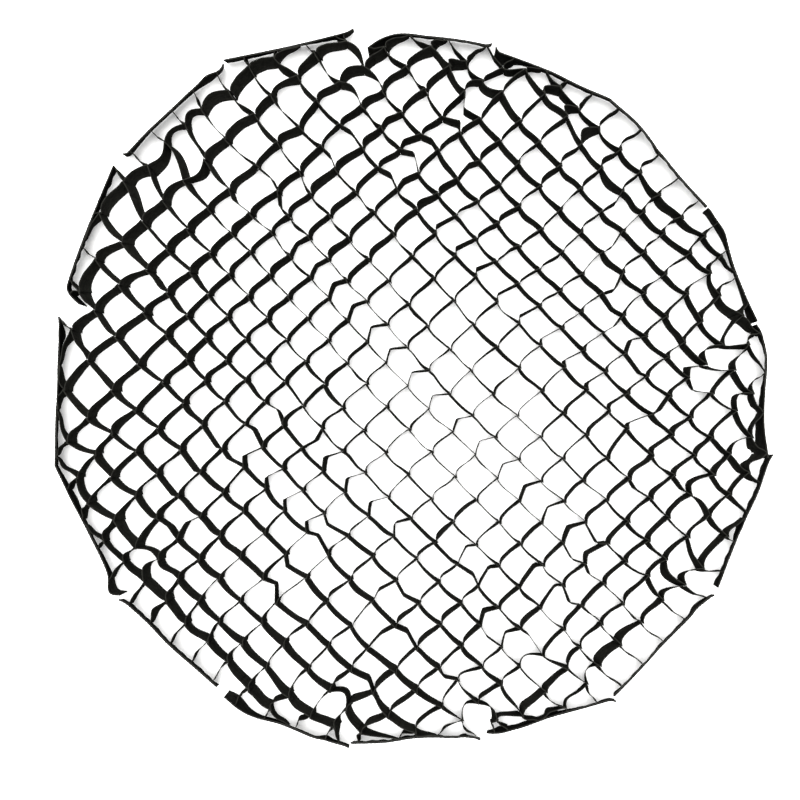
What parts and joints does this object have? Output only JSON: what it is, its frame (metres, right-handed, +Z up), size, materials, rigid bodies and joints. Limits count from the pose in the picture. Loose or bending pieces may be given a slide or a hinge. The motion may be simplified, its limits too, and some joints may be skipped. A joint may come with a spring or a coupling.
{
  "type": "honeycomb grid",
  "caption": "Black fabric egg-crate light grid: crossing strips on edge make square cells inside a ring of leaning rim panels whose hook tape holds it in a softbox's front.",
  "frame": {"origin": "middle of the grid, on the surface that it lies on", "axes": "+Z up out of the cells; one family of strips runs along X, the other along Y; rim panel 00 faces +X and the numbers go round anticlockwise"},
  "size_m": [0.9036, 0.9036, 0.045],
  "materials": {
    "strip_fabric": "matt black coated nylon, fine plain weave",
    "rim_fabric": "matt black nylon, two plies",
    "hook_tape": "black woven hook tape",
    "thread": "black sewing thread"
  },
  "bodies": {
    "grid": {"strip_x_01": "strip_fabric", "strip_x_02": "strip_fabric", "strip_x_03": "strip_fabric", "strip_x_04": "strip_fabric", "strip_x_05": "strip_fabric", "strip_x_06": "strip_fabric", "strip_x_07": "strip_fabric", "strip_x_08": "strip_fabric", "strip_x_09": "strip_fabric", "strip_x_10": "strip_fabric", "strip_x_11": "strip_fabric", "strip_x_12": "strip_fabric", "strip_x_13": "strip_fabric", "strip_x_14": "strip_fabric", "strip_x_15": "strip_fabric", "strip_x_16": "strip_fabric", "strip_x_17": "strip_fabric", "strip_x_18": "strip_fabric", "strip_x_19": "strip_fabric", "strip_x_20": "strip_fabric", "strip_x_21": "strip_fabric", "strip_x_22": "strip_fabric", "strip_x_23": "strip_fabric", "strip_y_01": "strip_fabric", "strip_y_02": "strip_fabric", "strip_y_03": "strip_fabric", "strip_y_04": "strip_fabric", "strip_y_05": "strip_fabric", "strip_y_06": "strip_fabric", "strip_y_07": "strip_fabric", "strip_y_08": "strip_fabric", "strip_y_09": "strip_fabric", "strip_y_10": "strip_fabric", "strip_y_11": "strip_fabric", "strip_y_12": "strip_fabric", "strip_y_13": "strip_fabric", "strip_y_14": "strip_fabric", "strip_y_15": "strip_fabric", "strip_y_16": "strip_fabric", "strip_y_17": "strip_fabric", "strip_y_18": "strip_fabric", "strip_y_19": "strip_fabric", "strip_y_20": "strip_fabric", "strip_y_21": "strip_fabric", "strip_y_22": "strip_fabric", "strip_y_23": "strip_fabric", "rim_corner_panel_04": "rim_fabric", "rim_corner_panel_10": "rim_fabric"},
    "rim_00": {"rim_panel_00": "rim_fabric"},
    "rim_01": {"rim_panel_01": "rim_fabric"},
    "rim_02": {"rim_panel_02": "rim_fabric"},
    "rim_03": {"rim_panel_03": "rim_fabric"},
    "rim_06": {"rim_panel_06": "rim_fabric"},
    "rim_07": {"rim_panel_07": "rim_fabric"},
    "rim_08": {"rim_panel_08": "rim_fabric"},
    "rim_09": {"rim_panel_09": "rim_fabric"},
    "rim_12": {"rim_panel_12": "rim_fabric"},
    "rim_13": {"rim_panel_13": "rim_fabric"},
    "rim_14": {"rim_panel_14": "rim_fabric"},
    "rim_15": {"rim_panel_15": "rim_fabric"}
  },
  "joints": [
    {"name": "rim_00_lean", "type": "hinge", "parent": "grid", "child": "rim_00", "pos_m": [0.441, 0, 0.0444], "axis": [0, -1, 0], "range_deg": [-12, 8]},
    {"name": "rim_01_lean", "type": "hinge", "parent": "grid", "child": "rim_01", "pos_m": [0.40743, 0.16876, 0.0444], "axis": [0.3827, -0.9239, 0], "range_deg": [-12, 8]},
    {"name": "rim_02_lean", "type": "hinge", "parent": "grid", "child": "rim_02", "pos_m": [0.31183, 0.31183, 0.0444], "axis": [0.7071, -0.7071, 0], "range_deg": [-12, 8]},
    {"name": "rim_03_lean", "type": "hinge", "parent": "grid", "child": "rim_03", "pos_m": [0.16876, 0.40743, 0.0444], "axis": [0.9239, -0.3827, 0], "range_deg": [-12, 8]},
    {"name": "rim_06_lean", "type": "hinge", "parent": "grid", "child": "rim_06", "pos_m": [-0.31183, 0.31183, 0.0444], "axis": [0.7071, 0.7071, 0], "range_deg": [-12, 8]},
    {"name": "rim_07_lean", "type": "hinge", "parent": "grid", "child": "rim_07", "pos_m": [-0.40743, 0.16876, 0.0444], "axis": [0.3827, 0.9239, 0], "range_deg": [-12, 8]},
    {"name": "rim_08_lean", "type": "hinge", "parent": "grid", "child": "rim_08", "pos_m": [-0.441, 0, 0.0444], "axis": [0, 1, 0], "range_deg": [-12, 8]},
    {"name": "rim_09_lean", "type": "hinge", "parent": "grid", "child": "rim_09", "pos_m": [-0.40743, -0.16876, 0.0444], "axis": [-0.3827, 0.9239, 0], "range_deg": [-12, 8]},
    {"name": "rim_12_lean", "type": "hinge", "parent": "grid", "child": "rim_12", "pos_m": [0, -0.441, 0.0444], "axis": [-1, 0, 0], "range_deg": [-12, 8]},
    {"name": "rim_13_lean", "type": "hinge", "parent": "grid", "child": "rim_13", "pos_m": [0.16876, -0.40743, 0.0444], "axis": [-0.9239, -0.3827, 0], "range_deg": [-12, 8]},
    {"name": "rim_14_lean", "type": "hinge", "parent": "grid", "child": "rim_14", "pos_m": [0.31183, -0.31183, 0.0444], "axis": [-0.7071, -0.7071, 0], "range_deg": [-12, 8]},
    {"name": "rim_15_lean", "type": "hinge", "parent": "grid", "child": "rim_15", "pos_m": [0.40743, -0.16876, 0.0444], "axis": [-0.3827, -0.9239, 0], "range_deg": [-12, 8]}
  ]
}
